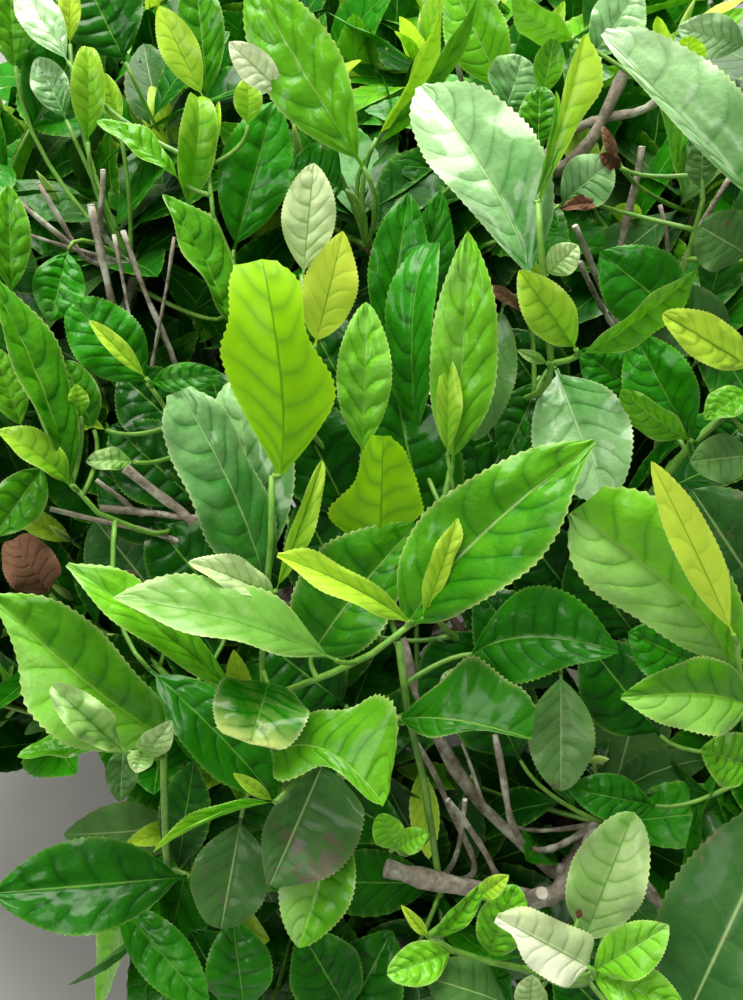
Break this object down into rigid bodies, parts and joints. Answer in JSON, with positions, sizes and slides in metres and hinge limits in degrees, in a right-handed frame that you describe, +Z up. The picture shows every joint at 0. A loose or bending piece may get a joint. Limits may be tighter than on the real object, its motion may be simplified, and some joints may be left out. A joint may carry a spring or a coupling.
{
  "type": "tea bush",
  "caption": "Small garden tea bush rooted in the ground: short flared trunk, arching boughs and a flattened dome of glossy toothed leaves with pale young shoots.",
  "frame": {"origin": "on the ground, in the flat cut under the trunk, on the trunk's axis", "axes": "+Z up; the bare patch in the skirt of leaves is towards -X and -Y"},
  "size_m": [0.934, 0.9222, 0.7267],
  "materials": {
    "bark": "rough grey-brown bark with pale lichen",
    "foliage": "glossy leaves, yellow-green when young and dark green when old"
  },
  "bodies": {
    "root": {"trunk": "bark", "leader": "bark", "bough_1": "bark", "bough_2": "bark", "bough_3": "bark", "bough_4": "bark", "bough_5": "bark", "bough_6": "bark", "branch_1": "bark", "branch_2": "bark", "branch_3": "bark", "branch_4": "bark", "branch_5": "bark", "branch_6": "bark", "branch_7": "bark", "branch_8": "bark", "branch_9": "bark", "top_branch_1": "bark", "top_branch_2": "bark", "shoulder_foliage_1": "foliage", "shoulder_foliage_2": "foliage", "shoulder_foliage_3": "foliage", "shoulder_foliage_4": "foliage", "shoulder_foliage_5": "foliage", "shoulder_foliage_6": "foliage", "skirt_foliage_1": "foliage", "skirt_foliage_2": "foliage", "skirt_foliage_3": "foliage", "skirt_foliage_4": "foliage", "skirt_foliage_5": "foliage", "skirt_foliage_6": "foliage", "skirt_foliage_7": "foliage", "skirt_foliage_8": "foliage", "skirt_foliage_9": "foliage", "top_foliage_1": "foliage", "top_foliage_2": "foliage", "top_foliage_3": "foliage"}
  },
  "joints": []
}
